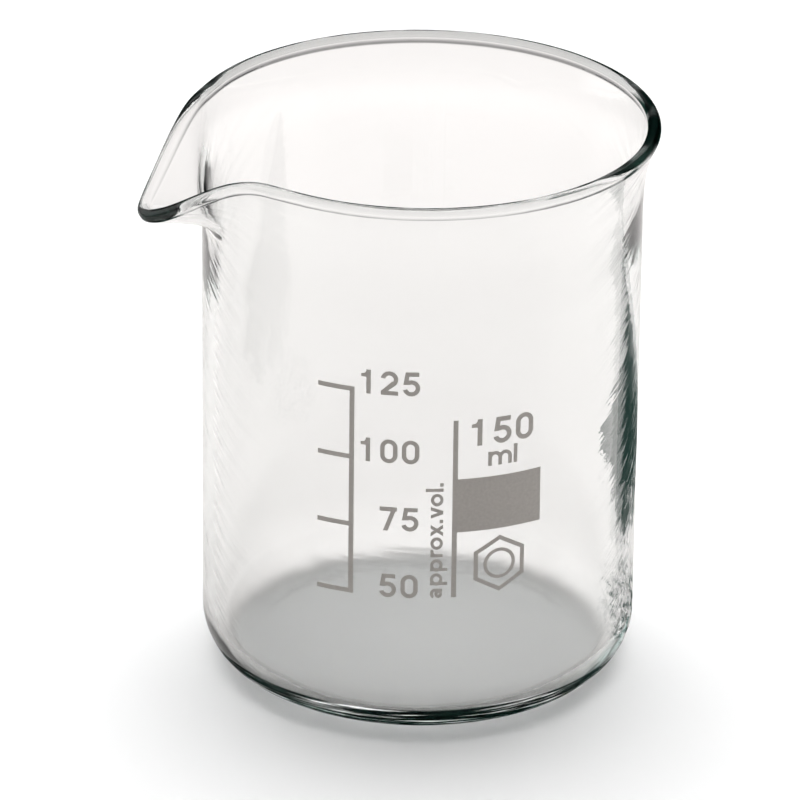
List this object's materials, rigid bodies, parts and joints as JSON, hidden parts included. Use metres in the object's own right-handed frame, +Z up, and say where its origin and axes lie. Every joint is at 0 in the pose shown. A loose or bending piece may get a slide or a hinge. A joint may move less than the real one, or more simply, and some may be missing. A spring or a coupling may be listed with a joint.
{
  "type": "beaker",
  "caption": "Low-form glass laboratory beaker with a pouring spout, a rolled rim, a rounded heel and a fired grey enamel volume scale",
  "frame": {"origin": "middle of the underside of the base, on the axis of the straight wall", "axes": "+Z is up along the axis of the wall; the spout points along -X; the printed scale faces between -X and -Y, so the label reads from the -Y side"},
  "size_m": [0.072, 0.0642, 0.08],
  "materials": {
    "clear_glass": "polished",
    "grey_enamel": "matte"
  },
  "bodies": {
    "root": {"glass_vessel": "clear_glass", "graduation_scale": "grey_enamel", "numeral_50": "grey_enamel", "numeral_75": "grey_enamel", "numeral_100": "grey_enamel", "numeral_125": "grey_enamel", "capacity_150": "grey_enamel", "unit_ml": "grey_enamel", "legend": "grey_enamel", "label_rule": "grey_enamel", "writing_panel": "grey_enamel", "emblem": "grey_enamel"}
  },
  "joints": []
}
